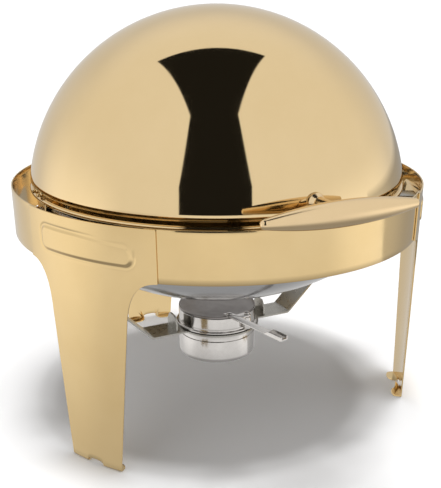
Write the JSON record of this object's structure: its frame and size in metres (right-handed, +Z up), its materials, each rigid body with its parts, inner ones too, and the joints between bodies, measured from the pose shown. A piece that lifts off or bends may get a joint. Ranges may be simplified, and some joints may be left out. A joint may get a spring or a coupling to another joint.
{
  "type": "roll top chafer",
  "caption": "Round buffet chafer on sheet-metal legs: a domed lid that rolls back under nested pans, with a fuel holder and swivelling snuffer on a strap.",
  "frame": {"origin": "on the floor, under the middle of the overall box; the axis of the round pans is 16.3 mm behind it (+Y)", "axes": "+Z up, -Y towards the lid handle (the front), +X to the right of someone facing the front from behind it"},
  "size_m": [0.4646, 0.5024, 0.4548],
  "materials": {
    "gold_mirror": "mirror-polished gold-colour plating on stainless sheet",
    "gold_satin": "soft-polished gold-colour plating on a turned bar",
    "pan_steel": "bright polished stainless",
    "chrome": "bright chrome-like polish",
    "strap_steel": "mill finish stainless strip",
    "snuffer_steel": "dull grey steel sheet",
    "zinc": "zinc-plated fasteners",
    "nylon": "natural nylon",
    "rubber": "black rubber"
  },
  "bodies": {
    "frame": {"band_front": "gold_mirror", "band_rear_left": "gold_mirror", "band_rear_right": "gold_mirror", "food_pan": "pan_steel", "frame_nut_left_a1": "zinc", "frame_nut_left_a2": "zinc", "frame_nut_left_b1": "zinc", "frame_nut_left_b2": "zinc", "frame_nut_rear_a1": "zinc", "frame_nut_rear_a2": "zinc", "frame_nut_rear_b1": "zinc", "frame_nut_rear_b2": "zinc", "frame_nut_right_a1": "zinc", "frame_nut_right_a2": "zinc", "frame_nut_right_b1": "zinc", "frame_nut_right_b2": "zinc", "friction_washer_left": "nylon", "friction_washer_right": "nylon", "fuel_cup": "chrome", "fuel_strap": "strap_steel", "leg_left": "gold_mirror", "leg_rear": "gold_mirror", "leg_right": "gold_mirror", "lid_bumper_left": "rubber", "lid_bumper_right": "rubber", "pan_support_ring": "strap_steel", "pivot_bolt_left": "zinc", "pivot_bolt_right": "zinc", "pivot_boss_left": "zinc", "pivot_boss_right": "zinc", "pivot_spacer_left": "chrome", "pivot_spacer_right": "chrome", "ring_bracket_front_left": "strap_steel", "ring_bracket_front_right": "strap_steel", "ring_bracket_side_left": "strap_steel", "ring_bracket_side_right": "strap_steel", "snuffer_pin": "chrome", "water_pan": "pan_steel"},
    "lid": {"handle_bar": "gold_satin", "handle_nut": "zinc", "handle_stem": "gold_satin", "handle_washer": "zinc", "lid_dome": "gold_mirror", "lid_lug_left": "gold_mirror", "lid_lug_right": "gold_mirror", "lug_rivet_left_1": "gold_mirror", "lug_rivet_left_2": "gold_mirror", "lug_rivet_right_1": "gold_mirror", "lug_rivet_right_2": "gold_mirror"},
    "snuffer": {"snuffer_lid": "snuffer_steel", "snuffer_lever": "chrome", "lever_rivet": "chrome"}
  },
  "joints": [
    {"name": "lid_roll", "type": "hinge", "parent": "frame", "child": "lid", "pos_m": [0, 0.01631, 0.2414], "axis": [-1, 0, 0], "range_deg": [0, 160]},
    {"name": "snuffer_swivel", "type": "hinge", "parent": "frame", "child": "snuffer", "pos_m": [0.0157, -0.03201, 0.103], "axis": [0, 0, 1], "range_deg": [0, 135]}
  ]
}
